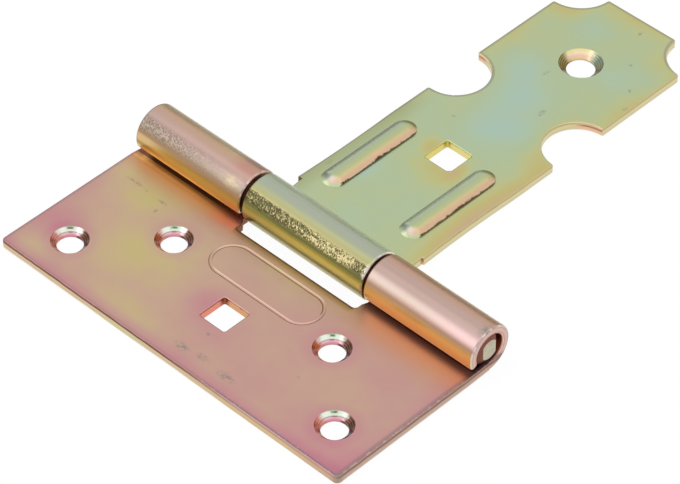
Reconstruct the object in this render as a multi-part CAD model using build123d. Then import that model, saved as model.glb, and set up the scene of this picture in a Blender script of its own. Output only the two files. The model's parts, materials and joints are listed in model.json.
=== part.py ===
from build123d import *
import math
import os

# A tee hinge of folded steel sheet: a wide butt leaf, a long strap leaf and a pin.
# X runs along the pin, Y from the butt leaf to the strap's tip and Z up from the backs of both leaves.

# Sheet, knuckles, pin and square bolt holes, in millimetres
sheet = 2.0
knuckle_radius = 5.85
bore_radius = knuckle_radius - sheet
lip_angle = 205.0
lip_round = 0.7
rim_round = 0.5
edge_round = 0.3
pin_clearance = 0.06
pin_radius = bore_radius - pin_clearance
pin_end_radius = 2.4
pin_end_width = 3.8
pin_nose = 0.8
pin_crop = 3.2
pin_recess = 0.2
bolt_square = 7.4
bolt_square_corner = 0.5

# The strap's roll along the pin, with the gaps beside it
strap_roll_start = -16.7
strap_roll_end = 18.65
left_gap = 0.9
right_gap = 0.6

# Butt leaf: plan of the sheet, seen from above
butt_width = 100.0
butt_reach = 45.0
butt_corner = 1.2
left_inset = 0.7
right_inset = 0.1
end_slant = 6.5
cut_front_gap = 1.75
cut_left_lap = 0.2
cut_right_lap = -0.15
cut_left_corner = 0.3
cut_right_corner = 1.0
jog_length = 1.3

# Butt leaf: screw holes in two rows, bolt hole and pressed frame line
front_hole_x = 39.3
front_hole_y = -34.8
back_hole_x = 23.5
back_hole_y = -19.3
butt_hole_radius = 2.95
butt_sink_radius = 4.25
butt_square_x = 0.45
butt_square_y = -27.8
frame_x = 0.4
frame_y = -15.25
frame_length = 30.0
frame_width = 9.4
frame_line_radius = 0.55
frame_line_depth = 0.2

# Strap leaf: plan of the sheet
strap_width = 37.3
strap_tip = 105.0
neck_length = 7.55
neck_lean_left = 0.9
neck_lean_right = 0.45
notch_shift = 0.35
side_notch_y = 62.65
side_notch_spread = 36.5
side_notch_radius = 8.05
tip_notch_spread = 37.5
tip_notch_radius = 8.7
strap_corner = 0.5
draw_in_y = 28.0
draw_in_length = 28.0
draw_in_depth = 0.25

# Strap leaf: screw hole, bolt hole and ribs
strap_hole_x = 0.3
strap_hole_y = 84.2
strap_hole_radius = 3.3
strap_sink_radius = 5.1
strap_square_x = 0.25
strap_square_y = 40.75
strap_square_blunt = 0.8
rib_left_x = -12.55
rib_right_x = 10.85
rib_width = 5.5
rib_shoulder = 0.35
rib_crest = 0.95
rib_run_out = 1.5
rib_start_y = 15.9
rib_length = 27.2

# Places that follow from these sizes
half_butt = butt_width / 2
left_roll = (-half_butt + left_inset, strap_roll_start - left_gap)
strap_roll = (strap_roll_start, strap_roll_end)
right_roll = (strap_roll_end + right_gap, half_butt - right_inset)
cut_front = -knuckle_radius - cut_front_gap
cut_left = strap_roll_start + cut_left_lap
cut_right = strap_roll_end - cut_right_lap
jog_back = -math.sqrt(knuckle_radius ** 2 - bore_radius ** 2)
jog_front = jog_back - jog_length
half_strap = strap_width / 2
step_y = knuckle_radius + neck_length
strap_middle = (step_y + strap_tip) / 2

# Room that cutting shapes take past the faces they cut
cut_room = 1.0
size_match = 0.01


def rolled_knuckle(roll, plate_side):
    """A sheet edge rolled around the pin; the sheet leaves along the bottom towards plate_side on Y."""
    start, end = roll
    reach = 2 * knuckle_radius
    bottom_angle = 270.0
    middle_angle = (lip_angle + bottom_angle) / 2
    corners = [(0, 0)]
    for angle in (lip_angle, middle_angle, bottom_angle):
        turn = math.radians(angle)
        corners.append((-plate_side * reach * math.cos(turn), reach * math.sin(turn)))
    opening = make_face(Polyline(*corners, close=True))
    profile = Circle(knuckle_radius) - Circle(bore_radius) - opening
    roll_body = extrude(Plane.YZ.offset(start) * Pos(0, knuckle_radius) * profile, end - start)
    lip_height = knuckle_radius + knuckle_radius * math.sin(math.radians(lip_angle))
    long_edges = roll_body.edges().filter_by(Axis.X)
    lip_edges = long_edges.filter_by(lambda edge: edge.center().Z > lip_height - size_match)
    roll_body = fillet(lip_edges, lip_round)
    arcs = roll_body.edges().filter_by(GeomType.CIRCLE)
    rims = arcs.filter_by(lambda edge: abs(edge.radius - knuckle_radius) < size_match)
    return fillet(rims, rim_round)


def nearest_edge(edges, point):
    """The upright edge closest to a point of the plan."""
    return min(edges, key=lambda edge: math.dist((edge.center().X, edge.center().Y), point))


def flat_sheet(plan, corners, hole):
    """A flat sheet with a bolt hole; its corners and its free upper edges are rounded."""
    plate = extrude(plan, sheet)
    for points, radius in corners:
        upright = plate.edges().filter_by(Axis.Z)
        plate = fillet([nearest_edge(upright, point) for point in points], radius)
    plate -= Pos(0, 0, -cut_room) * extrude(hole, sheet + 2 * cut_room)
    upper = plate.faces().sort_by(Axis.Z)[-1].edges()
    free = upper.filter_by(lambda edge: abs(edge.center().Y) > size_match)
    return fillet(free, edge_round)


def bolt_hole(x, y):
    """The outline of a square bolt hole with slightly rounded corners."""
    return Pos(x, y) * RectangleRounded(bolt_square, bolt_square, bolt_square_corner)


def sunk_hole(x, y, hole_radius, sink_radius):
    """The cutting shape of a round screw hole with a right-angled countersink on top."""
    depth = sink_radius - hole_radius
    through = Pos(x, y, sheet / 2) * Cylinder(hole_radius, sheet + 2 * cut_room)
    sink_height = depth + cut_room
    sink_base = Pos(x, y, sheet - depth)
    align = (Align.CENTER, Align.CENTER, Align.MIN)
    return through + sink_base * Cone(hole_radius, hole_radius + sink_height, sink_height, align=align)


def round_bar(x, start, end, radius, height):
    """A bar along Y with ball ends, its axis at the given height."""
    length = end - start
    bar = Pos(x, (start + end) / 2, height) * Rot(90, 0, 0) * Cylinder(radius, length)
    return bar + Pos(x, start, height) * Sphere(radius) + Pos(x, end, height) * Sphere(radius)


def frame_line():
    """The cutting shape of a plain pressed line around a slot-shaped field."""
    half_straight = (frame_length - frame_width) / 2
    half_width = frame_width / 2
    height = sheet + frame_line_radius - frame_line_depth
    line = Part()
    for side in (-1, 1):
        middle = Pos(frame_x, frame_y + side * half_width, height)
        line += middle * Rot(0, 90, 0) * Cylinder(frame_line_radius, 2 * half_straight)
        end_ring = Pos(frame_x + side * half_straight, frame_y, height) * Torus(half_width, frame_line_radius)
        half_room = half_width + 2 * frame_line_radius
        half_space = Box(half_room, 2 * half_room, 2 * half_room)
        line += end_ring & Pos(frame_x + side * (half_straight + half_room / 2), frame_y, height) * half_space
    return line


# Butt leaf plan: the sheet runs up to the two rolls, with an opening for the strap's knuckle
front_corners = [(-half_butt, -butt_reach), (half_butt, -butt_reach)]
right_end = [(half_butt, -end_slant), (right_roll[1], 0)]
right_inner = [(right_roll[0], 0), (right_roll[0], jog_back), (cut_right, jog_front)]
right_cut = [(cut_right, cut_front)]
left_cut = [(cut_left, cut_front)]
left_inner = [(cut_left, jog_front), (left_roll[1], jog_back), (left_roll[1], 0)]
left_end = [(left_roll[0], 0), (-half_butt, -end_slant)]
butt_outline = front_corners + right_end + right_inner + right_cut + left_cut + left_inner + left_end
butt_plan = make_face(Polyline(*butt_outline, close=True))
butt_corners = [(front_corners, butt_corner), (right_cut, cut_right_corner), (left_cut, cut_left_corner)]

butt_leaf = flat_sheet(butt_plan, butt_corners, bolt_hole(butt_square_x, butt_square_y))
for roll in (left_roll, right_roll):
    butt_leaf += rolled_knuckle(roll, -1)
for side in (-1, 1):
    butt_leaf -= sunk_hole(side * front_hole_x, front_hole_y, butt_hole_radius, butt_sink_radius)
    butt_leaf -= sunk_hole(side * back_hole_x, back_hole_y, butt_hole_radius, butt_sink_radius)
butt_leaf -= frame_line()

# Strap leaf plan: a slightly slanting neck, then the strap with bites out of its sides and tip
# The bites were punched a little off the strap's middle
neck_left = strap_roll_start - neck_lean_left
neck_right = strap_roll_end - neck_lean_right
neck = [(strap_roll_start, 0), (strap_roll_end, 0), (neck_right, step_y), (neck_left, step_y)]
strap_plan = make_face(Polyline(*neck, close=True))
strap_plan += Pos(0, strap_middle) * Rectangle(strap_width, strap_tip - step_y)
draw_in_radius = (draw_in_length / 2) ** 2 / (2 * draw_in_depth) + draw_in_depth / 2
draw_in_x = half_strap - draw_in_depth + draw_in_radius
strap_corners = []
for side in (-1, 1):
    side_notch_x = notch_shift + side * side_notch_spread / 2
    tip_notch_x = notch_shift + side * tip_notch_spread / 2
    strap_plan -= Pos(side_notch_x, side_notch_y) * Circle(side_notch_radius)
    strap_plan -= Pos(tip_notch_x, strap_tip) * Circle(tip_notch_radius)
    strap_plan -= Pos(side * draw_in_x, draw_in_y) * Circle(draw_in_radius)
    for shift in (-side_notch_radius, side_notch_radius):
        strap_corners.append((side * half_strap, side_notch_y + shift))
    strap_corners.append((side * half_strap, strap_tip - tip_notch_radius))
    strap_corners.append((tip_notch_x - side * tip_notch_radius, strap_tip))

# The bolt hole's punch had one blunt corner, which leaves a little metal in the hole
blunt_corner = Pos(strap_square_x + bolt_square / 2, strap_square_y - bolt_square / 2) * Rot(0, 0, 45)
blunt_side = math.sqrt(2) * strap_square_blunt
strap_bolt_hole = bolt_hole(strap_square_x, strap_square_y) - blunt_corner * Rectangle(blunt_side, blunt_side)

strap_leaf = flat_sheet(strap_plan, [(strap_corners, strap_corner)], strap_bolt_hole)
strap_leaf += rolled_knuckle(strap_roll, 1)

# Ribs pressed up out of the strap: a round crest on an upright shoulder, with the hollow of the crest below
# The shoulder runs out at the end near the pin, where the crest slopes down to the sheet
half_rib = rib_width / 2
crest_radius = (half_rib ** 2 + rib_crest ** 2) / (2 * rib_crest)
crest_top = sheet + rib_shoulder + rib_crest
crest_centre = crest_top - crest_radius
crest_start = rib_start_y + half_rib
crest_end = rib_start_y + rib_length - half_rib
shoulder_length = rib_length + rib_run_out
shoulder_middle = rib_start_y + rib_length - shoulder_length / 2
for rib_x in (rib_left_x, rib_right_x):
    shoulder_plan = Pos(rib_x, shoulder_middle) * Rot(0, 0, 90) * SlotOverall(shoulder_length, rib_width)
    shoulder = extrude(shoulder_plan, crest_top + cut_room)
    strap_leaf += shoulder & round_bar(rib_x, crest_start, crest_end, crest_radius, crest_centre)
    strap_leaf -= round_bar(rib_x, crest_start, crest_end, crest_radius - sheet, crest_centre)
strap_leaf -= sunk_hole(strap_hole_x, strap_hole_y, strap_hole_radius, strap_sink_radius)

# Pin: a plain bar set a little inside the outer rolls, its ends cropped to a blunt wedge by two flats
pin_start = left_roll[0] + pin_recess
pin_end = right_roll[1] - pin_recess
pin_outline = [
    (pin_start, 0),
    (pin_start, pin_end_radius),
    (pin_start + pin_nose, pin_radius),
    (pin_end - pin_nose, pin_radius),
    (pin_end, pin_end_radius),
    (pin_end, 0),
]
pin_bar = revolve(make_face(Polyline(*pin_outline, close=True)), Axis.X)
half_end = pin_end_width / 2
half_room = pin_radius + cut_room
crop_outline = [
    (pin_start, -half_end),
    (pin_start + pin_crop, -half_room),
    (pin_end - pin_crop, -half_room),
    (pin_end, -half_end),
    (pin_end, half_end),
    (pin_end - pin_crop, half_room),
    (pin_start + pin_crop, half_room),
    (pin_start, half_end),
]
crop = extrude(make_face(Polyline(*crop_outline, close=True)), half_room, both=True)
hinge_pin = Pos(0, 0, knuckle_radius) * (pin_bar & crop)

# The part is stored with its origin under the middle of its outline
place = Pos(0, (butt_reach - strap_tip) / 2, 0)
os.makedirs("parts", exist_ok=True)
export_step(place * butt_leaf, "parts/butt_leaf.step")
export_step(place * strap_leaf, "parts/strap_leaf.step")
export_step(place * hinge_pin, "parts/hinge_pin.step")
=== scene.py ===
import json
import math
import bpy
from mathutils import Euler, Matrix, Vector


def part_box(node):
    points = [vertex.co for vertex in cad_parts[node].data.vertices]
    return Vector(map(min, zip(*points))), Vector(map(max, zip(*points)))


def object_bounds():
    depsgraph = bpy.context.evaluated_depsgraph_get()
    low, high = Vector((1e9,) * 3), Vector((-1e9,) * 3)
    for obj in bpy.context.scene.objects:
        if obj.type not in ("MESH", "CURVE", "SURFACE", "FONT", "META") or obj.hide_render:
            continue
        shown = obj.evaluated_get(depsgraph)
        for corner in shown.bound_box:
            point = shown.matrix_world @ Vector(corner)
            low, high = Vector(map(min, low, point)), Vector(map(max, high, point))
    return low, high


# A tee hinge of zinc-plated steel sheet with a yellow passivate film, lying open on a pale floor.
# The leaves keep their solid shapes; this script gives them their finish, the studio and the camera.

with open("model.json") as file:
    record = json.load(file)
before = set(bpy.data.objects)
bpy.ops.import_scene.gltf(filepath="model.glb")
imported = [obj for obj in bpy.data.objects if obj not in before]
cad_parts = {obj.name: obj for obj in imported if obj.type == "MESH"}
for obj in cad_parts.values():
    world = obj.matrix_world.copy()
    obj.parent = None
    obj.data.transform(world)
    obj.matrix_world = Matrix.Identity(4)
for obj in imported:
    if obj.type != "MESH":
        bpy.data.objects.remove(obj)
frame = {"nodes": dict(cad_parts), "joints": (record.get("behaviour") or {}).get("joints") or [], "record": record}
cad_low, cad_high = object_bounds()
joint = frame["joints"][0]
mounts = {mount["name"]: mount for mount in frame["record"]["mounts"]}
mm = 0.001


def in_mm(length):
    """A length of the frame, which is in metres, in millimetres."""
    return length / mm


# Places on the part, in millimetres, read from the frame
pin_y = in_mm(joint["pos_m"][1])
pin_z = in_mm(joint["pos_m"][2])
half_width = in_mm(cad_high.x)
front_y = in_mm(cad_low.y)
tip_y = in_mm(cad_high.y)
half_strap = in_mm(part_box("strap_leaf")[1].x)
roll_radius = in_mm(cad_high.z) / 2
pin_radius = in_mm(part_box("hinge_pin")[1].z) - pin_z

# Sizes that the frame doesn't hold
sheet = 2.0
opening_y = -37.6
notch_shift = 0.35
side_notch_y = 32.65
side_notch_spread = 36.5
side_notch_radius = 8.05
tip_notch_spread = 37.5
tip_notch_radius = 8.7
butt_sink_radius = 4.25
strap_sink_radius = 5.1
bolt_square = 7.4


def hole_places(name):
    """The centres of a pair of screw holes, or of a single hole twice, on the leaves."""
    mount = mounts[name]
    middle_x, middle_y = in_mm(mount["pos_m"][0]), in_mm(mount["pos_m"][1])
    half_spacing = mount["dims"].get("spacing_x_mm", 0.0) / 2
    return [(middle_x + side * half_spacing, middle_y) for side in (-1, 1)]


butt_holes = hole_places("butt_front_screws") + hole_places("butt_back_screws")
butt_square = hole_places("butt_bolt")[0]
strap_hole = hole_places("strap_screw")[0]
strap_square = hole_places("strap_bolt")[0]


# The display's colour curve: a straight foot, then a power
channel_top = 255
foot_end = 0.04045
foot_slope = 12.92
curve_offset = 0.055
curve_power = 2.4


def light(share):
    """The light that a display's channel gives, both from 0 to 1."""
    if share < foot_end:
        return share / foot_slope
    return ((share + curve_offset) / (1 + curve_offset)) ** curve_power


def tint(red, green, blue):
    """A display colour of 0 to 255 as the linear colour that a shader takes."""
    return (*[light(channel / channel_top) for channel in (red, green, blue)], 1.0)


# The passivate film: its colour follows its thickness, which goes from 0 to 1
film_tints = [
    (0.00, tint(186, 120, 136)),
    (0.15, tint(192, 138, 141)),
    (0.30, tint(192, 152, 141)),
    (0.42, tint(194, 163, 140)),
    (0.52, tint(195, 173, 132)),
    (0.61, tint(192, 181, 120)),
    (0.71, tint(186, 189, 137)),
    (0.82, tint(176, 190, 152)),
    (0.91, tint(172, 192, 165)),
    (1.00, tint(166, 192, 179)),
]

# Bands of colour around the rolls, by the angle from the top towards the butt leaf, in degrees: the film's colour
# with the light and shade that fall at each angle painted in
left_roll_film_and_shading = [
    (-40, tint(240, 222, 184)),
    (-30, tint(232, 210, 170)),
    (-15, tint(196, 162, 130)),
    (10, tint(190, 160, 147)),
    (26, tint(180, 154, 146)),
    (36, tint(160, 140, 130)),
    (46, tint(154, 138, 124)),
    (62, tint(166, 134, 104)),
    (76, tint(184, 152, 82)),
    (98, tint(218, 184, 112)),
    (110, tint(240, 214, 176)),
]
right_roll_film_and_shading = [
    (-40, tint(214, 180, 146)),
    (-15, tint(196, 156, 132)),
    (4, tint(186, 160, 151)),
    (13, tint(174, 147, 138)),
    (23, tint(180, 155, 146)),
    (32, tint(186, 163, 153)),
    (45, tint(184, 167, 157)),
    (62, tint(174, 136, 112)),
    (74, tint(218, 182, 108)),
    (90, tint(232, 196, 124)),
    (110, tint(246, 204, 146)),
]
middle_roll_film_and_shading = [
    (-40, tint(236, 244, 216)),
    (-30, tint(226, 236, 206)),
    (-18, tint(180, 190, 160)),
    (-10, tint(166, 174, 152)),
    (-4, tint(169, 176, 161)),
    (6, tint(166, 172, 152)),
    (14, tint(162, 168, 138)),
    (24, tint(174, 172, 124)),
    (33, tint(176, 168, 120)),
    (37, tint(152, 142, 100)),
    (58, tint(126, 120, 76)),
    (66, tint(112, 110, 62)),
    (78, tint(198, 194, 102)),
    (89, tint(214, 220, 140)),
    (100, tint(152, 142, 82)),
    (110, tint(180, 166, 104)),
]

# Bands of colour on the rolls' cut ends, by the distance from the pin's axis, in millimetres
roll_end_bands = [
    (3.8, tint(168, 114, 102)),
    (4.4, tint(206, 162, 148)),
    (4.9, tint(216, 182, 170)),
    (5.4, tint(184, 164, 162)),
    (5.9, tint(200, 188, 184)),
]

# Bands of colour on the cut edges, by the height above the leaf's back, in millimetres: the shear's zones, with
# painted shade in a dark line below the rounded top edge
front_edge_bands = [
    (0.0, tint(248, 240, 226)),
    (0.25, tint(230, 214, 190)),
    (0.45, tint(208, 186, 154)),
    (0.9, tint(208, 180, 142)),
    (1.3, tint(222, 190, 154)),
    (1.5, tint(190, 156, 124)),
    (1.65, tint(104, 72, 52)),
    (1.88, tint(104, 72, 52)),
    (2.0, tint(160, 112, 112)),
]
front_right_bands = [
    (0.0, tint(232, 212, 182)),
    (0.3, tint(206, 178, 140)),
    (0.6, tint(208, 180, 134)),
    (0.95, tint(218, 188, 140)),
    (1.3, tint(200, 168, 130)),
    (1.6, tint(178, 146, 122)),
    (1.9, tint(182, 148, 136)),
    (2.0, tint(166, 132, 132)),
]
right_edge_bands = [
    (0.0, tint(236, 222, 212)),
    (0.25, tint(208, 188, 174)),
    (0.5, tint(184, 156, 142)),
    (0.9, tint(192, 162, 142)),
    (1.2, tint(188, 156, 136)),
    (1.45, tint(160, 130, 110)),
    (1.6, tint(124, 96, 78)),
    (1.76, tint(124, 96, 78)),
    (2.0, tint(170, 148, 138)),
]
strap_side_bands = [
    (0.0, tint(218, 210, 180)),
    (0.3, tint(206, 198, 158)),
    (0.6, tint(206, 196, 150)),
    (1.0, tint(218, 206, 158)),
    (1.45, tint(206, 194, 144)),
    (1.62, tint(184, 168, 122)),
    (1.74, tint(184, 168, 122)),
    (2.0, tint(188, 174, 130)),
]
strap_front_bands = [
    (0.0, tint(236, 208, 178)),
    (0.4, tint(230, 188, 158)),
    (0.9, tint(224, 180, 148)),
    (1.15, tint(160, 118, 88)),
    (1.35, tint(160, 118, 88)),
    (1.55, tint(220, 186, 156)),
    (2.0, tint(206, 180, 144)),
]

# Bands of colour across a rib, by how far its surface leans towards +X: the film's colour with painted light and
# shade, ending in a painted dark line of shade at its steep side
rib_film_and_shading = [
    (-0.60, tint(140, 150, 134)),
    (-0.50, tint(190, 200, 180)),
    (-0.34, tint(192, 204, 176)),
    (-0.16, tint(172, 184, 152)),
    (0.02, tint(174, 186, 142)),
    (0.20, tint(182, 182, 134)),
    (0.34, tint(194, 174, 132)),
    (0.46, tint(206, 173, 140)),
    (0.54, tint(212, 177, 148)),
    (0.58, tint(84, 62, 42)),
]

# Bands of colour across a rib's rounded end near the pin, in the same way: painted shade on its left, a painted
# highlight in its middle
rib_end_film_and_shading = [
    (-0.34, tint(120, 130, 122)),
    (-0.14, tint(150, 158, 146)),
    (0.02, tint(198, 194, 176)),
    (0.20, tint(204, 178, 166)),
    (0.40, tint(192, 160, 146)),
]

# Bands of colour down the far side of a countersink, by the depth below the leaf's face, in millimetres: the
# colours of its cone and wall, made bright by painted reflections
butt_sink_far_shading = [
    (0.00, tint(150, 150, 128)),
    (0.08, tint(204, 224, 192)),
    (0.55, tint(222, 234, 210)),
    (0.72, tint(228, 228, 218)),
    (0.86, tint(172, 146, 152)),
    (1.00, tint(236, 194, 202)),
    (1.30, tint(214, 150, 162)),
    (2.00, tint(200, 130, 132)),
]
strap_sink_far_shading = [
    (0.00, tint(186, 176, 126)),
    (0.10, tint(228, 214, 162)),
    (0.75, tint(236, 218, 176)),
    (1.10, tint(232, 192, 176)),
    (1.50, tint(226, 196, 150)),
    (2.00, tint(196, 164, 116)),
]

# Pairs of colours on the left, right and near sides of a countersink, painted light and shade by the side that
# each faces; left and right alternate in rings
butt_sink_left_shading = (tint(206, 134, 118), tint(180, 112, 104))
butt_sink_right_shading = (tint(68, 40, 36), tint(108, 76, 64))
butt_sink_near_shading = (tint(160, 104, 58), tint(58, 42, 36))
strap_sink_left_shading = (tint(144, 136, 84), tint(106, 90, 50))
strap_sink_right_shading = (tint(98, 116, 106), tint(142, 146, 118))
strap_sink_near_shading = (tint(112, 106, 66), tint(80, 88, 78))

# Tints that are laid in more than one place; the silver is rubs with painted highlights, and the mauve, dark and
# crease tints are painted shade
pit_dark = tint(66, 64, 44)
fleck_pale = tint(214, 200, 150)
scuff_grey = tint(128, 128, 122)
silver_rubs_and_highlights = tint(218, 204, 198)
rim_grey = tint(132, 128, 118)
rim_mauve_shade = tint(146, 118, 124)
rim_dark_shade = tint(58, 42, 36)
crease_shade_brown = tint(70, 46, 30)

# Tints that hide what is below them: walls of the holes and the opening, ribs and pin; the walls' dark corner and
# olive tints and the bore, opening, rib end, shoulder and pin body tints are painted shade
wall_salmon = tint(224, 140, 116)
wall_tan = tint(216, 158, 110)
wall_corner_shade = tint(120, 44, 30)
wall_yellow = tint(222, 208, 116)
wall_gold = tint(226, 212, 132)
wall_olive_shade = tint(190, 172, 78)
bore_shade_brown = tint(184, 132, 112)
opening_wall_shade = tint(132, 88, 62)
rib_far_end_shade = tint(160, 152, 96)
rib_shoulder_shade = tint(84, 66, 44)
pin_pale = tint(194, 186, 162)
pin_shaded_brown = tint(126, 82, 70)

# Layers on the butt leaf's rolls: a tint, and the share of the colour below that it hides
butt_pits = (pit_dark, 0.55)
# Painted highlight and painted shade low on the left roll's outer end
left_end_low_highlight = (tint(236, 204, 156), 0.55)
low_shade = (tint(130, 92, 40), 0.45)
inner_glow = (tint(190, 136, 126), 0.6)
# Painted shade along the rim of the left roll's outer end
left_end_shade_rim = (rim_grey, 0.6)
inner_rub = (fleck_pale, 0.4)
right_end_mist = (tint(216, 172, 178), 0.4)
end_scuff = (scuff_grey, 0.8)

# Layers on the butt leaf's face and edges, in the same way
# Painted reflections of the rolls on the face beside them, painted light by the lips and painted shade in the
# creases
right_roll_reflection = (tint(200, 146, 122), 0.7)
left_roll_reflection = (tint(204, 152, 88), 0.7)
crease_painted_light = (tint(255, 200, 120), 0.9)
left_crease_shade = (crease_shade_brown, 0.6)
inner_crease_reflection = (tint(214, 122, 92), 0.5)
right_crease_shade = (crease_shade_brown, 1.0)
# Painted shade along the side rims and in the left corner by the roll, with worn specks on the right
right_rim_shade = (tint(150, 120, 122), 0.8)
right_specks = (tint(178, 162, 152), 0.8)
left_rim_shade = (rim_mauve_shade, 0.5)
left_corner_shade = (tint(118, 58, 50), 0.7)
# Painted shade along the front rim, and rubs there with painted highlights
front_rim_shade = (rim_mauve_shade, 0.35)
front_shade_line = (tint(132, 112, 122), 0.7)
front_rubs_and_highlights = (silver_rubs_and_highlights, 0.8)
front_end_pink = (tint(192, 142, 136), 0.45)
front_olive = (tint(204, 198, 146), 0.8)
front_corner = (rim_grey, 0.6)
# Painted shade by the opening for the strap's roll
opening_shade = (tint(150, 112, 40), 0.5)
opening_shade_line = (tint(96, 74, 40), 0.7)

# Layers on the strap, on both leaves and on the pin, in the same way
low_left_olive = (tint(150, 150, 90), 0.6)
strap_pits = (pit_dark, 0.8)
strap_flecks = (fleck_pale, 0.8)
# A burr at the strap roll's +X end, with a painted highlight
burr_and_highlight = (tint(242, 236, 228), 0.6)
left_strip_olive = (tint(154, 162, 124), 0.6)
# Painted shade along the strap's far rim and on the wall of its left step
strap_far_rim_shade = (rim_grey, 0.5)
step_shade = (rim_dark_shade, 0.8)
# A painted highlight at the far ends of a countersink and painted reflections as spots on it
sink_far_end_highlight = (tint(246, 250, 244), 0.5)
sink_upper_reflection = (tint(70, 92, 60), 0.85)
sink_lower_reflection = (tint(120, 84, 92), 0.6)
rub_marks = (scuff_grey, 0.75)
pin_mottle = (scuff_grey, 0.4)

# Shares of the painted corner shade on a bolt hole's walls
wall_top_share = 0.6
far_corner_share = 0.8

# Clouds in the film: the middle and the reach along X and Y in millimetres, and the change of thickness
butt_straw_clouds = [
    (-26, -55, 26, 22, 0.24),
    (-15, -71, 16, 7, 0.16),
    (-44, -71, 8, 6, 0.14),
    (-48, -41, 7, 6, 0.12),
    (-40, -43, 18, 10, 0.20),
    (-10, -47, 16, 10, 0.02),
    (3, -41, 24, 7, 0.10),
    (32, -56, 14, 10, 0.05),
]
butt_pink_clouds = [
    (48, -73, 26, 16, -0.18),
    (20, -66, 16, 8, -0.05),
    (-3.5, -58, 9, 7, -0.22),
    (1, -63, 10, 5, -0.08),
    (-30, -48, 8, 8, -0.10),
    (-44, -62, 9, 9, -0.20),
    (49, -39, 7, 12, -0.16),
    (-21, -37, 7, 4, -0.16),
    (38, -48, 20, 9, -0.05),
]
strap_mist_clouds = [
    (2, 26, 13, 16, 0.16),
    (-3, 38, 11, 12, 0.13),
    (-9, 45, 9, 8, 0.10),
    (10, 57, 9, 9, 0.08),
    (-5, 64, 8, 7, 0.08),
    (-9, -4, 3, 10, 0.10),
    (0, -17, 9, 5, 0.06),
]
strap_straw_clouds = [
    (1, 6, 9, 8, -0.18),
    (6, 6, 6, 8, -0.08),
    (-5, 11, 4, 5, -0.20),
    (18, 0, 7, 30, -0.24),
    (14, 31, 7, 13, -0.18),
    (17, 22, 7, 7, -0.12),
    (18, 48, 6, 14, -0.12),
    (0, 77, 22, 10, -0.26),
    (-15, 67, 8, 8, -0.20),
    (14, 68, 9, 8, -0.12),
    (-19, 4, 4, 30, -0.06),
    (-17, 50, 5, 12, -0.08),
    (5, 9, 3, 7, -0.14),
]

# The film's base, and its changes by the rims: the gap where each starts, where it is full, and its amount
butt_film_base = 0.33
butt_hole_change = (7.5, 4.6, -0.10)
butt_side_change = (5.0, 0.0, -0.07)
butt_front_change = (4.0, 0.5, -0.16)
strap_film_base = 0.81
strap_side_change = (3.5, 0.0, -0.06)

# Rub marks and patches: the middle and the reach along X and Y, in millimetres
butt_scuffs = [
    (-42.5, -42.5, 3.6, 0.7),
    (-38.8, -42.8, 0.7, 0.5),
    (-33.5, -43.0, 1.8, 0.6),
    (-32.8, -46.0, 0.6, 1.2),
    (1.0, -70.6, 3.2, 1.7),
    (2.2, -64.3, 1.0, 0.6),
    (6.1, -69.9, 2.4, 1.2),
    (13.8, -70.5, 3.6, 1.6),
    (24.5, -60.1, 0.6, 0.6),
]
strap_scuffs = [
    (5.4, 35.4, 0.9, 1.8),
    (5.4, 35.4, 0.6, 1.4),
    (14.4, 54.5, 0.9, 0.8),
    (17.6, 49.2, 0.7, 1.2),
    (8.9, 61.2, 0.7, 0.7),
    (-3.0, 46.5, 0.6, 2.4),
    (-17.0, -8.7, 1.0, 1.3),
    (-7.8, 21.0, 0.8, 0.8),
    (3.2, 71.0, 0.6, 1.6),
]
end_scuff_patch = (49.2, pin_y - 0.8, 2.0, 2.6)
front_olive_patch = (-13.0, front_y, 13.0, 1.5)
front_corner_patch = (half_width, front_y, 2.6, 2.6)

# Wanders: the grain of a noise, and how far it carries a value
butt_turn_wander = (dict(size=9.0, stretch=(2.0, 1.0, 1.0)), 20.0)
strap_turn_wander = (dict(size=9.0, stretch=(2.0, 1.0, 1.0)), 10.0)
left_wander_share = 1.2
flank_wander = (dict(size=1.5), 14.0)
burr_wander = (dict(size=0.9), 1.6)
shear_wander = (dict(size=1.6, stretch=(2.0, 2.0, 1.0)), 0.35)
sink_wander = (dict(size=1.0), 0.3)
wall_wander = (dict(size=0.8), 1.0)
roll_end_wander = (dict(size=0.8), 0.5)
rib_wanders = [(dict(size=4.0), 0.15), (dict(size=0.9), 0.10)]
butt_film_wanders = [(dict(size=12.0), 0.16), (dict(size=3.0), 0.05)]
strap_film_wanders = [(dict(size=10.0, shift=7.0), 0.16), (dict(size=2.5, shift=7.0), 0.06)]

# Speckles: the grain of a noise, and its values where the speckles start and where they are full
inner_streaks = (dict(size=0.7, stretch=(2.5, 1.0, 1.0)), -0.2, 0.2)
scuff_specks = (dict(size=0.6, detail=3.0), -0.2, 0.05)
edge_specks = (dict(size=0.8, detail=3.0), 0.02, 0.16)
front_specks = (dict(size=0.5), 0.12, 0.2)
rub_specks = (dict(size=0.7, detail=3.0, shift=3.0), -0.12, 0.12)
rim_specks = (dict(size=1.0, shift=5.0), -0.1, 0.15)
pin_specks = (dict(size=1.2), -0.3, 0.5)

# Fine grain of the rolls: its noise, and the values where it darkens, pits or flecks the metal
butt_grain = dict(size=0.36, detail=1.0)
strap_grain = dict(size=0.36, detail=1.0, stretch=(0.9, 1.4, 1.4))
grain_shade = (0.0, 1.6)
butt_pit_grain = (0.1, -0.1)
strap_pit_grain = (0.03, -0.14)
strap_fleck_grain = (0.0, 0.14)

# Changes of the strap roll's grain: along X and around the pin, each with its amount last
strap_grain_lift = 0.04
strap_left_shade = (14.0, -18.0, -0.2)
strap_right_shade = (13.0, 17.0, -0.14)
strap_lit_turn = 50.0
strap_lit_change = (9.0, 2.0, 0.09)

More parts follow.
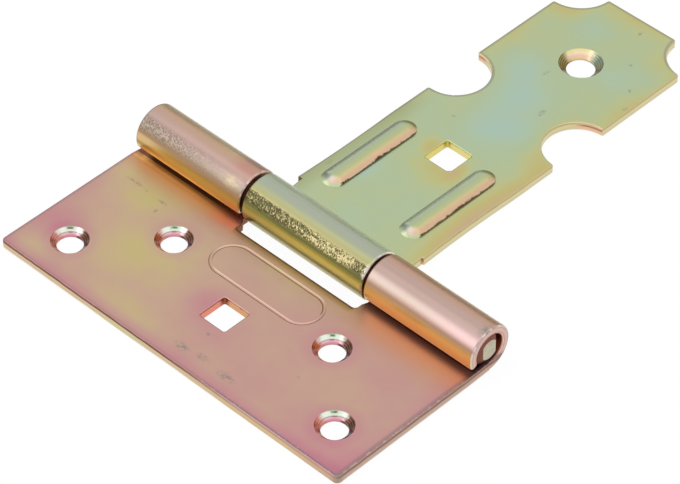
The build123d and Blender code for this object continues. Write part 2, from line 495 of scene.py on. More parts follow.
# Fades along X, in millimetres: where each one starts and where it is full
right_half_x = (-5.0, 5.0)
right_side_x = (16.0, 26.0)
left_side_x = (-16.0, -22.0)
left_end_x = (-18.0, -44.0)
low_end_x = (-39.0, -46.0)
inner_start_x = (-26.0, -21.0)
inner_stop_x = (-14.0, -16.0)
rub_stop_x = (-18.4, -20.4)
left_rim_x = (1.4 - half_width, 0.9 - half_width)
right_end_x = (30.0, 48.0)
crease_glow_x = (-18.0, -34.0)
left_crease_x = (-17.0, -19.0)
inner_crease_start_x = (-26.0, -20.0)
inner_crease_stop_x = (-15.0, -17.0)
front_change_x = (0.0, 24.0)
front_pink_x = (34.0, 49.0)
front_line_x = (0.0, 20.0)
front_rub_x = (-5.0, 20.0)
opening_start_x = (-17.0, -16.0)
opening_stop_x = (19.0, 18.0)
opening_wall_x = (22.0, 20.0)
low_left_x = (0.0, -16.0)
burr_x = (17.7, 18.2)
left_strip_x = (-13.0, -18.0)
step_x = (-16.5, -17.5)

# Fades along Y, in millimetres, in the same way
right_glow_y = (-47.0, -38.0)
left_glow_y = (-41.0, -36.0)
crease_glow_start_y = (-37.0, -36.2)
crease_glow_stop_y = (-35.0, -35.3)
left_crease_y = (-35.3, -34.9)
inner_crease_y = (-40.0, -37.5)
right_crease_y = (pin_y - 0.8 * roll_radius, pin_y - 0.7 * roll_radius)
left_corner_y = (-37.5, -35.0)
lip_haze_y = (-44.0, -38.0)
shoulder_y = (-10.5, -7.0)
left_strip_y = (26.0, 14.0)
step_y = (-12.0, -15.0)

# Fade towards the strap's far edges, across a slanting line
far_edge_slope = 0.4
far_edge_fade = (6.0, 14.0)

# Fades by the distance from the pin's axis along Y, and by the distance from the axis itself
on_roll_reach = (1.2 * roll_radius, 1.1 * roll_radius)
off_roll_reach = (1.2 * roll_radius, 1.3 * roll_radius)
opening_wall_reach = (9.0, 8.0)
bore_reach = (pin_radius + 0.3, pin_radius + 0.15)

# Fades by the height above the leaf's back
on_roll_z = (sheet + 0.2, sheet + 1.2)
on_sheet_z = (sheet + 0.05, sheet)
far_rim_z = (sheet - 0.4, sheet - 0.3)
strap_rim_z = (sheet - 0.1, sheet)
front_olive_z = (1.5, 1.2)
wall_top_z = (1.55, 1.75)
rib_foot_z = (sheet + 0.02, sheet + 0.12)
rib_end_foot_z = (sheet + 0.1, sheet + 0.9)
lip_haze_z = (sheet + 0.5, sheet)

# Fades by the gap to an edge, seen from above
cut_gap = (0.9, 0.6)
right_wear_gap = (1.6, 0.6)
right_speck_gap = (0.7, 0.4)
left_rim_gap = (1.0, 0.5)
left_corner_gap = (3.4, 1.6)
front_rim_gap = (1.1, 0.5)
front_line_gap = (0.7, 0.4)
front_rub_gap = (0.8, 0.5)
opening_shade_gap = (2.2, 0.9)
opening_line_gap = (0.8, 0.5)
strap_rim_gap = (0.9, 0.5)

# Fades around the pin, in degrees from the top towards the butt leaf; of three, the first is a band's middle
butt_flank_turn = (42.0, 22.0, 10.0)
low_glow_turn = (75.0, 12.0, 4.0)
low_shade_turn = (91.0, 7.0, 2.0)
inner_glow_turn = (30.0, 5.0)
low_left_turn = (60.0, 74.0)
flank_start_turn = (32.0, 37.0)
flank_stop_turn = (64.0, 56.0)
burr_turn = (46.0, 22.0, 8.0)

# Fades by the way that a surface faces, from 1 along an axis to -1 against it
cut_facing_z = (0.96, 0.8)
right_facing_x = (0.5, 0.8)
left_facing_x = (-0.1, -0.4)
away_facing = (0.1, 0.4)
wall_facing_z = (0.75, 0.4)
side_wall_facing_x = (0.4, 0.8)
steep_facing_z = (0.8, 0.5)
end_rim_facing_x = (0.2, 0.45)
roll_end_facing_x = (0.9, 0.97)
rib_near_facing_y = (-0.1, -0.3)
rib_far_facing_y = (0.15, 0.45)
shoulder_facing_z = (0.5, 0.3)
step_facing_y = (-0.3, -0.7)
pin_end_facing_x = (0.92, 0.98)

# Fades in the countersinks: past their rims, by the facing, by the lean towards +X and +Y, and by the depth
sink_past = (0.15, 0.05)
sink_facing_z = (0.95, 0.85)
sink_near_facing = (0.2, 0.7)
left_lean = (0.5, 0.9)
right_lean = (-0.45, -0.8)
near_lean = (0.3, -0.2)
far_ends_spread = (0.12, 0.4)
far_ends_depth = (0.75, 0.6)
turned_rings_rate = 16.0
turned_rings_fade = (-0.5, 0.5)

# Painted reflections as spots on a countersink's far side: the layer, the fade by the lean and the band by the
# depth
sink_reflection_spots = [
    (sink_upper_reflection, (0.24, 0.04), (0.27, 0.25, 0.08)),
    (sink_lower_reflection, (0.22, 0.04), (0.92, 0.2, 0.06)),
]

# Fades in the square bolt holes: the distance from the middle in half sides, and from the far corner
wall_reach = (1.6, 1.5)
far_corner_reach = (1.8, 0.4)

# Shine and fine relief of the metal; depths in millimetres
full_specular = 0.5
leaf_roughness = 0.3
pin_roughness = 0.4
butt_sink_polish = -0.1
strap_sink_polish = -0.06
lip_haze = 0.14
butt_even_grain = 0.06
butt_grain_depth = 0.08
strap_even_grain = 0.03
strap_grain_depth = 0.25


class Finish:
    """A metal finish laid on the part's own coordinates; every length in it is in millimetres."""

    def __init__(self, name):
        self.material = bpy.data.materials.new(name)
        self.material.use_nodes = True
        self.tree = self.material.node_tree
        self.shader = self.tree.nodes["Principled BSDF"]
        self.shader.inputs["Metallic"].default_value = 1.0
        coordinates = self.node("ShaderNodeTexCoord")
        scaled = self.node("ShaderNodeVectorMath", operation="SCALE")
        self.feed(scaled.inputs["Vector"], coordinates.outputs["Object"])
        scaled.inputs["Scale"].default_value = 1 / mm
        self.place = scaled.outputs["Vector"]
        self.x, self.y, self.z = self.split(self.place)
        self.facing_x, self.facing_y, self.facing_z = self.split(coordinates.outputs["Normal"])

    def node(self, kind, **settings):
        made = self.tree.nodes.new(kind)
        for name, value in settings.items():
            setattr(made, name, value)
        return made

    def feed(self, socket, value):
        """Links a socket to another node's output, or sets it to a plain value."""
        if isinstance(value, bpy.types.NodeSocket):
            self.tree.links.new(value, socket)
        else:
            socket.default_value = value

    def split(self, vector):
        """The three parts of a vector, along X, Y and Z."""
        made = self.node("ShaderNodeSeparateXYZ")
        self.feed(made.inputs["Vector"], vector)
        return made.outputs

    def calc(self, operation, first, second=0.0):
        made = self.node("ShaderNodeMath", operation=operation)
        self.feed(made.inputs[0], first)
        self.feed(made.inputs[1], second)
        return made.outputs["Value"]

    def minus(self, first, second):
        return self.calc("SUBTRACT", first, second)

    def total(self, *terms):
        result = terms[0]
        for term in terms[1:]:
            result = self.calc("ADD", result, term)
        return result

    def product(self, *terms):
        result = terms[0]
        for term in terms[1:]:
            result = self.calc("MULTIPLY", result, term)
        return result

    def rise(self, value, start, full):
        """0 where the value is at start, 1 where it is at full, with a soft change between them."""
        made = self.node("ShaderNodeMapRange", interpolation_type="SMOOTHSTEP")
        self.feed(made.inputs["Value"], value)
        made.inputs["From Min"].default_value = start
        made.inputs["From Max"].default_value = full
        return made.outputs["Result"]

    def change(self, value, start, full, amount):
        """0 where the value is at start, an amount where it is at full."""
        return self.product(self.rise(value, start, full), amount)

    def size(self, value):
        """A value without its sign."""
        return self.calc("ABSOLUTE", value)

    def off(self, value, middle):
        """How far a value is from a middle value, on either side."""
        return self.size(self.minus(value, middle))

    def near(self, value, middle, start, full):
        """A band about a middle value: 0 as far off as start, 1 as near as full."""
        return self.rise(self.off(value, middle), start, full)

    def distance(self, place, reach=(1.0, 1.0)):
        """How far a point is from a place seen from above, in shares of a reach along X and Y."""
        across = self.calc("DIVIDE", self.minus(self.x, place[0]), reach[0])
        along = self.calc("DIVIDE", self.minus(self.y, place[1]), reach[1])
        return self.calc("SQRT", self.total(self.product(across, across), self.product(along, along)))

    def nearest(self, places):
        """How far a point is from the nearest of some places, seen from above."""
        result = self.distance(places[0])
        for place in places[1:]:
            result = self.calc("MINIMUM", result, self.distance(place))
        return result

    def patch(self, x, y, reach_x, reach_y):
        """A soft oval patch, 1 in its middle and 0 at its reach."""
        return self.rise(self.distance((x, y), (reach_x, reach_y)), 1.0, 0.0)

    def clouds(self, patches):
        """The sum of soft oval patches, each with its place, its reach and its amount."""
        return self.total(*[self.product(self.patch(*oval), amount) for *oval, amount in patches])

    def noise(self, size, detail=2.0, stretch=(1.0, 1.0, 1.0), shift=0.0):
        """Noise of a given size of grain, about 0."""
        placed = self.node("ShaderNodeMapping")
        self.feed(placed.inputs["Vector"], self.place)
        placed.inputs["Scale"].default_value = [1 / (size * share) for share in stretch]
        placed.inputs["Location"].default_value = (shift, shift, shift)
        made = self.node("ShaderNodeTexNoise")
        self.feed(made.inputs["Vector"], placed.outputs["Vector"])
        made.inputs["Scale"].default_value = 1.0
        made.inputs["Detail"].default_value = detail
        return self.minus(made.outputs["Fac"], 0.5)

    def wander(self, grain, amount):
        """Noise of some grain, about 0, times an amount."""
        return self.product(self.noise(**grain), amount)

    def speckle(self, grain, start, full):
        """Ragged spots: 0 where a noise is at start, 1 where it is at full."""
        return self.rise(self.noise(**grain), start, full)

    def mix(self, share, first, second):
        """A share of the second colour over the first; sockets 6, 7 and 2 are the node's colour ones."""
        made = self.node("ShaderNodeMix", data_type="RGBA")
        self.feed(made.inputs["Factor"], share)
        self.feed(made.inputs[6], first)
        self.feed(made.inputs[7], second)
        return made.outputs[2]

    def lay(self, below, layer, *shares):
        """A layer over the colour below it, as strong as the product of the shares and its own share."""
        layer_tint, layer_share = layer
        return self.mix(self.product(*shares, layer_share), below, layer_tint)

    def ramp(self, value, stops):
        """A colour that follows a value through a list of positions and colours."""
        made = self.node("ShaderNodeValToRGB")
        first, last = stops[0][0], stops[-1][0]
        self.feed(made.inputs["Fac"], self.calc("DIVIDE", self.minus(value, first), last - first))
        elements = made.color_ramp.elements
        while len(elements) < len(stops):
            elements.new(1.0)
        for element, (position, colour) in zip(elements, stops):
            element.position = (position - first) / (last - first)
            element.color = colour
        return made.outputs["Color"]

    def around_pin(self):
        """The angle around the pin in degrees, 0 on top and 90 towards the butt leaf, and the distance."""
        forward = self.minus(pin_y, self.y)
        upward = self.minus(self.z, pin_z)
        angle = self.calc("DEGREES", self.calc("ARCTAN2", forward, upward))
        squares = self.total(self.product(forward, forward), self.product(upward, upward))
        return angle, self.calc("SQRT", squares)

    def on_roll(self):
        """1 on a rolled knuckle, 0 on the flat sheet."""
        near_pin = self.rise(self.off(self.y, pin_y), *on_roll_reach)
        return self.product(self.rise(self.z, *on_roll_z), near_pin)

    def turned_away(self, start, full):
        """Surfaces that face -X and +Y, away from the photograph's camera, where painted shade is laid."""
        return self.rise(self.minus(self.facing_y, self.facing_x), start, full)

    def colour(self, value):
        self.feed(self.shader.inputs["Base Color"], value)

    def dull(self, share):
        """Takes the metal's shine away by a share."""
        shine = self.minus(1.0, share)
        self.feed(self.shader.inputs["Metallic"], shine)
        self.feed(self.shader.inputs["Specular IOR Level"], self.product(shine, full_specular))

    def roughness(self, value):
        self.feed(self.shader.inputs["Roughness"], value)

    def bump(self, height, depth):
        made = self.node("ShaderNodeBump")
        self.feed(made.inputs["Height"], height)
        made.inputs["Distance"].default_value = depth * mm
        made.inputs["Strength"].default_value = 1.0
        self.feed(self.shader.inputs["Normal"], made.outputs["Normal"])


def butt_film(finish):
    """Film thickness on the butt leaf: rose, with straw-coloured clouds and pink rims."""
    side_gap = finish.minus(half_width, finish.size(finish.x))
    front_gap = finish.minus(finish.y, front_y)
    return finish.total(
        butt_film_base,
        finish.clouds(butt_straw_clouds),
        finish.clouds(butt_pink_clouds),
        finish.change(finish.nearest(butt_holes), *butt_hole_change),
        finish.change(side_gap, *butt_side_change),
        finish.change(front_gap, *butt_front_change),
        *[finish.wander(*wander) for wander in butt_film_wanders],
    )


def strap_film(finish):
    """Film thickness on the strap: sage, with misty blue-green clouds and straw-coloured rims."""
    side_gap = finish.minus(half_strap, finish.size(finish.x))
    return finish.total(
        strap_film_base,
        finish.clouds(strap_mist_clouds),
        finish.clouds(strap_straw_clouds),
        finish.change(side_gap, *strap_side_change),
        *[finish.wander(*wander) for wander in strap_film_wanders],
    )


def butt_edge_gap(finish):
    """How far a point of the butt leaf is from its sides or its front, seen from above."""
    across = finish.minus(half_width, finish.size(finish.x))
    return finish.calc("MINIMUM", across, finish.minus(finish.y, front_y))


def strap_edge_gap(finish):
    """How far a point of the strap is from its sides, its tip or a notch, seen from above."""
    across = finish.minus(half_strap, finish.size(finish.x))
    gap = finish.calc("MINIMUM", across, finish.minus(tip_y, finish.y))
    side_notch = (side_notch_spread, side_notch_y, side_notch_radius)
    tip_notch = (tip_notch_spread, tip_y, tip_notch_radius)
    for spread, notch_y, radius in (side_notch, tip_notch):
        for side in (-1, 1):
            reach = finish.distance((notch_shift + side * spread / 2, notch_y))
            gap = finish.calc("MINIMUM", gap, finish.minus(reach, radius))
    return gap


def cut_edges(finish, colour, gap, front_bands, side_bands, far_rim_shade, right_bands=None):
    """Cut edges of the sheet, banded by the shear with a painted dark line of shade below the rounded top edge,
    and painted shade on top rims turned away; the front can change to other bands towards +X.
    """
    upright = finish.rise(finish.size(finish.facing_z), *cut_facing_z)
    by_edge = finish.rise(gap, *cut_gap)
    on_sheet = finish.rise(finish.z, *on_sheet_z)
    height = finish.total(finish.z, finish.wander(*shear_wander))
    front_colour = finish.ramp(height, front_bands)
    if right_bands:
        right_colour = finish.ramp(height, right_bands)
        front_colour = finish.mix(finish.rise(finish.x, *front_change_x), front_colour, right_colour)
        front_colour = finish.lay(front_colour, front_end_pink, finish.rise(finish.x, *front_pink_x))
    to_right = finish.rise(finish.facing_x, *right_facing_x)
    to_left = finish.rise(finish.facing_x, *left_facing_x)
    sideways = finish.calc("MAXIMUM", to_right, to_left)
    bands = finish.mix(sideways, front_colour, finish.ramp(height, side_bands))
    colour = finish.mix(finish.product(upright, by_edge, on_sheet), colour, bands)
    # Painted shade on the top rims of the edges turned away
    far_rim = finish.product(on_sheet, finish.rise(finish.z, *far_rim_z))
    return finish.mix(finish.product(finish.turned_away(*away_facing), far_rim), colour, far_rim_shade)


def countersinks(finish, colour, places, radius, bands, left_pair, right_pair, near_pair, spotted):
    """Screw holes: a countersink bright with a painted highlight and painted reflections on its far side, with
    painted light and shade by the side it faces on the others, which are turned in fine rings.
    """
    inside = finish.rise(finish.minus(finish.nearest(places), radius), *sink_past)
    sunk = finish.product(inside, finish.rise(finish.facing_z, *sink_facing_z))
    depth = finish.minus(sheet, finish.z)
    lean = finish.total(finish.facing_x, finish.facing_y, finish.wander(*sink_wander))
    far_colour = finish.ramp(depth, bands)
    if spotted:
        spread = finish.size(lean)
        far_ends = finish.product(finish.rise(spread, *far_ends_spread), finish.rise(depth, *far_ends_depth))
        far_colour = finish.lay(far_colour, sink_far_end_highlight, far_ends)
        for layer, lean_fade, depth_band in sink_reflection_spots:
            spot = finish.product(finish.rise(spread, *lean_fade), finish.near(depth, *depth_band))
            far_colour = finish.lay(far_colour, layer, spot)
    rings = finish.rise(finish.calc("SINE", finish.product(depth, turned_rings_rate)), *turned_rings_fade)
    sunk_colour = finish.mix(finish.rise(lean, *left_lean), far_colour, finish.mix(rings, *left_pair))
    sunk_colour = finish.mix(finish.rise(lean, *right_lean), sunk_colour, finish.mix(rings, *right_pair))
    near_side = finish.turned_away(*sink_near_facing)
    near_colour = finish.mix(finish.rise(lean, *near_lean), *near_pair)
    sunk_colour = finish.mix(near_side, sunk_colour, near_colour)
    return finish.mix(sunk, colour, sunk_colour), sunk, finish.product(sunk, near_side)


def square_walls(finish, colour, place, side_tint, back_tint, corner_shade):
    """Walls of a square bolt hole, with painted shade in a ragged line along the top and in the far corner, and on
    the walls turned away.
    """
    half_side = bolt_square / 2
    inside = finish.rise(finish.distance(place, (half_side, half_side)), *wall_reach)
    upright = finish.rise(finish.size(finish.facing_z), *wall_facing_z)
    wall = finish.mix(finish.rise(finish.size(finish.facing_x), *side_wall_facing_x), back_tint, side_tint)
    top = finish.rise(finish.total(finish.z, finish.wander(*wall_wander)), *wall_top_z)
    wall = finish.lay(wall, (corner_shade, wall_top_share), top)
    far_corner = finish.distance((place[0] - half_side, place[1] + half_side))
    wall = finish.lay(wall, (corner_shade, far_corner_share), finish.rise(far_corner, *far_corner_reach))
    colour = finish.mix(finish.product(inside, upright), colour, wall)
    return finish.mix(finish.product(inside, finish.turned_away(*away_facing)), colour, rim_dark_shade)


def scuffs(finish, colour, marks):
    """Small grey rub marks, each with its place and its reach."""
    marked = finish.total(*[finish.patch(*mark) for mark in marks])
    return finish.lay(colour, rub_marks, marked, finish.speckle(*rub_specks))


def roll_details(finish, colour, from_pin):
    """Rubbed rims with painted highlights at the rolls' ends towards +X, the cut ends there and the bore in
    painted shade.
    """
    towards_end = finish.rise(finish.facing_x, *end_rim_facing_x)
    colour = finish.mix(finish.product(towards_end, finish.speckle(*rim_specks)), colour, silver_rubs_and_highlights)
    cut_end = finish.ramp(finish.total(from_pin, finish.wander(*roll_end_wander)), roll_end_bands)
    colour = finish.mix(finish.rise(finish.facing_x, *roll_end_facing_x), colour, cut_end)
    return finish.mix(finish.rise(from_pin, *bore_reach), colour, bore_shade_brown)


def butt_roll(finish, angle, flank, left_end, grain):
    """Colour of the butt leaf's two rolls: banded around the pin with painted light and shade, and pitted, rubbed
    and given painted light and shade by their ends.
    """
    right_half = finish.rise(finish.x, *right_half_x)
    wander_share = finish.minus(left_wander_share, right_half)
    wandering = finish.total(angle, finish.product(finish.wander(*butt_turn_wander), wander_share))
    left_colour = finish.ramp(wandering, left_roll_film_and_shading)
    right_colour = finish.ramp(wandering, right_roll_film_and_shading)
    colour = finish.mix(right_half, left_colour, right_colour)
    colour = finish.mix(finish.rise(grain, *grain_shade), colour, pit_dark)
    colour = finish.lay(colour, butt_pits, flank, left_end, finish.rise(grain, *butt_pit_grain))
    low_end = finish.rise(finish.x, *low_end_x)
    colour = finish.lay(colour, left_end_low_highlight, low_end, finish.near(angle, *low_glow_turn))
    colour = finish.lay(colour, low_shade, low_end, finish.near(angle, *low_shade_turn))
    inner_start = finish.rise(finish.x, *inner_start_x)
    inner_end = finish.product(inner_start, finish.rise(finish.x, *inner_stop_x))
    colour = finish.lay(colour, inner_glow, inner_end, finish.rise(angle, *inner_glow_turn))
    colour = finish.lay(colour, left_end_shade_rim, finish.rise(finish.x, *left_rim_x))
    rubbed_end = finish.product(flank, inner_start, finish.rise(finish.x, *rub_stop_x))
    colour = finish.lay(colour, inner_rub, rubbed_end, finish.speckle(*inner_streaks))
    colour = finish.lay(colour, right_end_mist, flank, finish.rise(finish.x, *right_end_x))
    return finish.lay(colour, end_scuff, finish.patch(*end_scuff_patch), finish.speckle(*scuff_specks))


def butt_creases(finish, colour):
    """Painted reflections of the rolls, painted light and painted shade in the creases where the butt leaf's face
    runs under its rolls.
    """
    right_side = finish.rise(finish.x, *right_side_x)
    colour = finish.lay(colour, right_roll_reflection, right_side, finish.rise(finish.y, *right_glow_y))
    left_side = finish.rise(finish.x, *left_side_x)
    colour = finish.lay(colour, left_roll_reflection, left_side, finish.rise(finish.y, *left_glow_y))
    glow_start = finish.rise(finish.y, *crease_glow_start_y)
    by_crease = finish.product(glow_start, finish.rise(finish.y, *crease_glow_stop_y))
    colour = finish.lay(colour, crease_painted_light, by_crease, finish.rise(finish.x, *crease_glow_x))
    under_left = finish.rise(finish.y, *left_crease_y)
    colour = finish.lay(colour, left_crease_shade, under_left, finish.rise(finish.x, *left_crease_x))
    inner_start = finish.rise(finish.x, *inner_crease_start_x)
    inner_crease = finish.product(inner_start, finish.rise(finish.x, *inner_crease_stop_x))
    colour = finish.lay(colour, inner_crease_reflection, inner_crease, finish.rise(finish.y, *inner_crease_y))
    return finish.lay(colour, right_crease_shade, right_side, finish.rise(finish.y, *right_crease_y))


def butt_rims(finish, colour):
    """Rims along the butt leaf's sides, its front and the opening for the strap's roll: painted shade along them,
    worn specks on the right and rubs with painted highlights at the front.
    """
    right_gap = finish.minus(half_width, finish.x)
    colour = finish.lay(colour, right_rim_shade, finish.rise(right_gap, *right_wear_gap))
    by_right = finish.rise(right_gap, *right_speck_gap)
    colour = finish.lay(colour, right_specks, by_right, finish.speckle(*edge_specks))
    left_gap = finish.total(half_width, finish.x)
    colour = finish.lay(colour, left_rim_shade, finish.rise(left_gap, *left_rim_gap))
    by_left = finish.rise(left_gap, *left_corner_gap)
    colour = finish.lay(colour, left_corner_shade, by_left, finish.rise(finish.y, *left_corner_y))
    front_gap = finish.minus(finish.y, front_y)
    colour = finish.lay(colour, front_rim_shade, finish.rise(front_gap, *front_rim_gap))
    on_line = finish.rise(front_gap, *front_line_gap)
    colour = finish.lay(colour, front_shade_line, on_line, finish.rise(finish.x, *front_line_x))
    on_rubs = finish.product(finish.rise(front_gap, *front_rub_gap), finish.rise(finish.x, *front_rub_x))
    colour = finish.lay(colour, front_rubs_and_highlights, on_rubs, finish.speckle(*front_specks))
    opening_start = finish.rise(finish.x, *opening_start_x)
    by_opening = finish.product(opening_start, finish.rise(finish.x, *opening_stop_x))
    opening_gap = finish.minus(opening_y, finish.y)
    colour = finish.lay(colour, opening_shade, by_opening, finish.rise(opening_gap, *opening_shade_gap))
    return finish.lay(colour, opening_shade_line, by_opening, finish.rise(opening_gap, *opening_line_gap))


def butt_walls(finish, colour):
    """The butt leaf's upright walls: cut edges, the front's marks and painted shade on the walls of the opening
    for the strap's roll.
    """
    edge_tints = (front_edge_bands, right_edge_bands, rim_mauve_shade, front_right_bands)
    colour = cut_edges(finish, colour, butt_edge_gap(finish), *edge_tints)
    steep = finish.rise(finish.facing_z, *steep_facing_z)
    olive_run = finish.product(finish.patch(*front_olive_patch), finish.rise(finish.z, *front_olive_z))
    colour = finish.lay(colour, front_olive, olive_run, steep)
    colour = finish.lay(colour, front_corner, finish.patch(*front_corner_patch))
    by_roll = finish.rise(finish.off(finish.y, pin_y), *opening_wall_reach)
    by_strap = finish.rise(finish.size(finish.x), *opening_wall_x)
    return finish.mix(finish.product(by_roll, by_strap, steep), colour, opening_wall_shade)


def butt_finish():
    finish = Finish("butt_passivate")
    on_roll = finish.on_roll()
    angle, from_pin = finish.around_pin()
    flank = finish.product(on_roll, finish.near(angle, *butt_flank_turn))
    left_end = finish.rise(finish.x, *left_end_x)
    grain = finish.noise(**butt_grain)
    roll_colour = butt_roll(finish, angle, flank, left_end, grain)
    colour = finish.ramp(butt_film(finish), film_tints)
    colour = butt_creases(finish, colour)
    colour = butt_rims(finish, colour)
    colour = scuffs(finish, colour, butt_scuffs)
    colour = butt_walls(finish, colour)
    colour = finish.mix(on_roll, colour, roll_details(finish, roll_colour, from_pin))
    colour = square_walls(finish, colour, butt_square, wall_salmon, wall_tan, wall_corner_shade)
    sink_tints = (butt_sink_far_shading, butt_sink_left_shading, butt_sink_right_shading, butt_sink_near_shading)
    hole_sizes = (butt_holes, butt_sink_radius)
    colour, sunk, dull = countersinks(finish, colour, *hole_sizes, *sink_tints, spotted=True)
    finish.colour(colour)
    finish.dull(dull)
    by_lip = finish.product(finish.rise(finish.y, *lip_haze_y), finish.rise(finish.z, *lip_haze_z))
    polish = finish.product(sunk, butt_sink_polish)
    finish.roughness(finish.total(leaf_roughness, polish, finish.product(by_lip, lip_haze)))
    relief = finish.total(butt_even_grain, finish.product(flank, left_end))
    finish.bump(finish.product(grain, relief), butt_grain_depth)
    return finish.material


def strap_roll(finish, angle, flank, grain):
    """Colour of the strap's roll: banded around the pin with painted light and shade, pitted on its flank and
    burred at its +X end with a painted highlight.
    """
    colour = finish.ramp(finish.total(angle, finish.wander(*strap_turn_wander)), middle_roll_film_and_shading)
    low_left = finish.rise(finish.x, *low_left_x)
    colour = finish.lay(colour, low_left_olive, low_left, finish.rise(angle, *low_left_turn))
    left_shade = finish.change(finish.x, *strap_left_shade)
    right_shade = finish.change(finish.x, *strap_right_shade)
    lit_middle = finish.change(finish.off(angle, strap_lit_turn), *strap_lit_change)
    shaded_grain = finish.total(grain, left_shade, right_shade, lit_middle, strap_grain_lift)
    colour = finish.lay(colour, strap_pits, flank, finish.rise(shaded_grain, *strap_pit_grain))
    colour = finish.lay(colour, strap_flecks, flank, finish.rise(shaded_grain, *strap_fleck_grain))
    burr_reach = finish.total(finish.x, finish.wander(*burr_wander))
    return finish.lay(colour, burr_and_highlight, finish.rise(burr_reach, *burr_x), finish.near(angle, *burr_turn))


def strap_ribs(finish, colour, off_roll):
    """The two pressed ribs, banded across by their lean with painted light and shade, with painted shade on their
    far ends and on their steep sides away from the pin.
    """
    near_end = finish.rise(finish.facing_y, *rib_near_facing_y)
    risen = finish.rise(finish.z, *rib_foot_z)
    end_risen = finish.rise(finish.z, *rib_end_foot_z)
    either = finish.total(risen, finish.product(near_end, finish.minus(end_risen, risen)))
    on_rib = finish.product(either, off_roll)
    lean = finish.total(finish.facing_x, *[finish.wander(*wander) for wander in rib_wanders])
    rib_colour = finish.mix(near_end, finish.ramp(lean, rib_film_and_shading), finish.ramp(lean, rib_end_film_and_shading))
    rib_colour = finish.mix(finish.rise(finish.facing_y, *rib_far_facing_y), rib_colour, rib_far_end_shade)
    colour = finish.mix(on_rib, colour, rib_colour)
    steep = finish.rise(finish.facing_z, *shoulder_facing_z)
    shoulder = finish.product(on_rib, steep, finish.rise(finish.y, *shoulder_y))
    return finish.mix(shoulder, colour, rib_shoulder_shade)


def strap_edges(finish, colour, off_roll):
    """The strap's shaded left strip, painted shade on its far rim, its cut edges and painted shade on the wall of
    its left step.
    """
    left_strip = finish.product(finish.rise(finish.x, *left_strip_x), finish.rise(finish.y, *left_strip_y))
    colour = finish.lay(colour, left_strip_olive, left_strip, off_roll)
    edge_gap = strap_edge_gap(finish)
    far_side = finish.minus(finish.product(finish.y, far_edge_slope), finish.x)
    by_rim = finish.product(finish.rise(edge_gap, *strap_rim_gap), finish.rise(finish.z, *strap_rim_z))
    colour = finish.lay(colour, strap_far_rim_shade, by_rim, finish.rise(far_side, *far_edge_fade))
    colour = cut_edges(finish, colour, edge_gap, strap_front_bands, strap_side_bands, rim_grey)
    left_step = finish.product(finish.rise(finish.x, *step_x), finish.rise(finish.y, *step_y), off_roll)
    return finish.lay(colour, step_shade, left_step, finish.rise(finish.facing_y, *step_facing_y))


def strap_finish():
    finish = Finish("strap_passivate")
    on_roll = finish.on_roll()
    off_roll = finish.rise(finish.off(finish.y, pin_y), *off_roll_reach)
    angle, from_pin = finish.around_pin()
    ragged = finish.total(angle, finish.wander(*flank_wander))
    flank_start = finish.rise(ragged, *flank_start_turn)
    flank = finish.product(on_roll, flank_start, finish.rise(ragged, *flank_stop_turn))
    grain = finish.noise(**strap_grain)
    roll_colour = strap_roll(finish, angle, flank, grain)
    colour = finish.ramp(strap_film(finish), film_tints)
    colour = scuffs(finish, colour, strap_scuffs)
    colour = strap_ribs(finish, colour, off_roll)
    colour = strap_edges(finish, colour, off_roll)
    colour = finish.mix(on_roll, colour, roll_details(finish, roll_colour, from_pin))
    colour = square_walls(finish, colour, strap_square, wall_yellow, wall_gold, wall_olive_shade)
    sink_tints = (strap_sink_far_shading, strap_sink_left_shading, strap_sink_right_shading, strap_sink_near_shading)
    hole_sizes = ([strap_hole], strap_sink_radius)
    colour, sunk, dull = countersinks(finish, colour, *hole_sizes, *sink_tints, spotted=False)
    finish.colour(colour)
    finish.dull(dull)
    finish.roughness(finish.total(leaf_roughness, finish.product(sunk, strap_sink_polish)))
    finish.bump(finish.product(grain, finish.total(strap_even_grain, flank)), strap_grain_depth)
    return finish.material


def pin_finish():
    finish = Finish("pin_passivate")
    at_end = finish.rise(finish.size(finish.facing_x), *pin_end_facing_x)
    end_colour = finish.lay(pin_pale, pin_mottle, finish.speckle(*pin_specks))
    # The pin's end face, and its body in painted shade
    finish.colour(finish.mix(at_end, pin_shaded_brown, end_colour))
    finish.roughness(pin_roughness)
    return finish.material


finishes = {"butt_leaf": butt_finish, "strap_leaf": strap_finish, "hinge_pin": pin_finish}
for node, make_finish in finishes.items():
    frame["nodes"][node].material_slots[0].material = make_finish()

# Camera, at the photograph's place: turned about the foot of the pin's middle, lengths in millimetres
view_azimuth = math.radians(44.187)
view_elevation = math.radians(43.250)
view_distance = 815.73
view_right_shift = 5.006
view_up_shift = 2.626
view_lens = 203.18
frame_width = 36.0

turn = Euler((math.pi / 2 - view_elevation, 0.0, view_azimuth))
right, up, back = turn.to_matrix().col
pin_foot = Vector((0.0, pin_y, 0.0))
camera_data = bpy.data.cameras.new("camera")
camera_data.lens = view_lens
camera_data.sensor_width = frame_width
camera = bpy.data.objects.new("camera", camera_data)
camera.location = (pin_foot + right * view_right_shift + up * view_up_shift + back * view_distance) * mm
camera.rotation_euler = turn
bpy.context.scene.collection.objects.link(camera)
bpy.context.scene.camera = camera


def stage_sheet(name, corners, material):
    """A flat four-cornered stage piece."""
    mesh = bpy.data.meshes.new(name)
    mesh.from_pydata(corners, [], [(0, 1, 2, 3)])
    mesh.materials.append(material)
    piece = bpy.data.objects.new(name, mesh)
    bpy.context.scene.collection.objects.link(piece)
    return piece


def grey(shade):
    """A neutral colour, from 0 for black to 1 for white."""
    return (shade, shade, shade, 1.0)


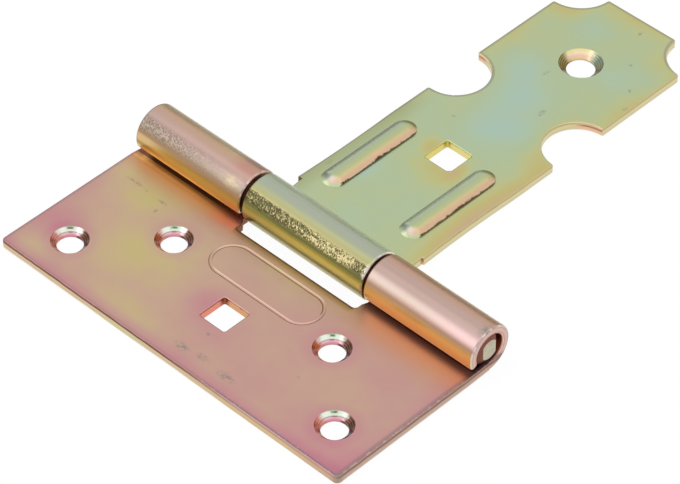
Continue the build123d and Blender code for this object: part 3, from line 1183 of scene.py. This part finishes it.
def pale_floor():
    """A thin pale layer over the white surround, just dense enough to keep the object's shadow."""
    reach = 3.0
    drop = 0.05 * mm
    density = 0.05
    paper_shade = 0.95
    material = bpy.data.materials.new("floor")
    material.use_nodes = True
    tree = material.node_tree
    tree.nodes.clear()
    output = tree.nodes.new("ShaderNodeOutputMaterial")
    paper = tree.nodes.new("ShaderNodeBsdfDiffuse")
    paper.inputs["Color"].default_value = grey(paper_shade)
    clear = tree.nodes.new("ShaderNodeBsdfTransparent")
    both = tree.nodes.new("ShaderNodeMixShader")
    both.inputs["Fac"].default_value = density
    tree.links.new(clear.outputs["BSDF"], both.inputs[1])
    tree.links.new(paper.outputs["BSDF"], both.inputs[2])
    tree.links.new(both.outputs["Shader"], output.inputs["Surface"])
    sides = [(-reach, -reach), (reach, -reach), (reach, reach), (-reach, reach)]
    stage_sheet("floor", [(x, y, -drop) for x, y in sides], material)


quarter_turn = 90.0


def aimed(azimuth, elevation):
    """The direction of an azimuth, 0 towards +Y and 90 towards +X, and an elevation, in degrees."""
    turned, lifted = math.radians(azimuth), math.radians(elevation)
    outward = math.cos(lifted)
    return Vector((math.sin(turned) * outward, math.cos(turned) * outward, math.sin(lifted)))


def soft_lamp(name, azimuth, elevation, distance, width, height, glow):
    """A soft lamp that faces the part; glow is how bright its face is, where 1 is white."""
    data = bpy.data.lights.new(name, "AREA")
    data.shape = "RECTANGLE"
    data.size = width
    data.size_y = height
    data.energy = glow * math.pi * width * height
    lamp = bpy.data.objects.new(name, data)
    direction = aimed(azimuth, elevation)
    lamp.location = direction * distance
    lamp.rotation_euler = direction.to_track_quat("Z", "Y").to_euler()
    bpy.context.scene.collection.objects.link(lamp)


def dark_card(name, azimuth, elevation, distance, width, height, shade):
    """A card that faces the part and that only the metal's reflections see."""
    material = bpy.data.materials.new(name)
    material.use_nodes = True
    shader = material.node_tree.nodes["Principled BSDF"]
    shader.inputs["Base Color"].default_value = grey(shade)
    middle = aimed(azimuth, elevation) * distance
    along = aimed(azimuth + quarter_turn, 0.0) * width / 2
    upward = aimed(azimuth, elevation + quarter_turn) * height / 2
    lower, upper = middle - upward, middle + upward
    card = stage_sheet(name, [lower - along, lower + along, upper + along, upper - along], material)
    card.visible_camera = False
    card.visible_diffuse = False
    card.visible_shadow = False


# The studio: a white surround, the floor, the lamps and a card, in metres and degrees
world = bpy.data.worlds.new("surround")
world.use_nodes = True
surround = world.node_tree.nodes["Background"]
surround.inputs["Color"].default_value = grey(1.0)
surround.inputs["Strength"].default_value = 1.0
bpy.context.scene.world = world
pale_floor()
soft_lamp("front_lamp", azimuth=217.0, elevation=33.0, distance=1.2, width=1.0, height=0.7, glow=1.0)
soft_lamp("top_lamp", azimuth=136.0, elevation=88.0, distance=1.0, width=1.1, height=1.1, glow=0.5)
dark_card("back_left_card", azimuth=-45.0, elevation=-3.0, distance=1.2, width=2.0, height=0.8, shade=0.3)
bpy.context.scene.view_settings.view_transform = "Standard"
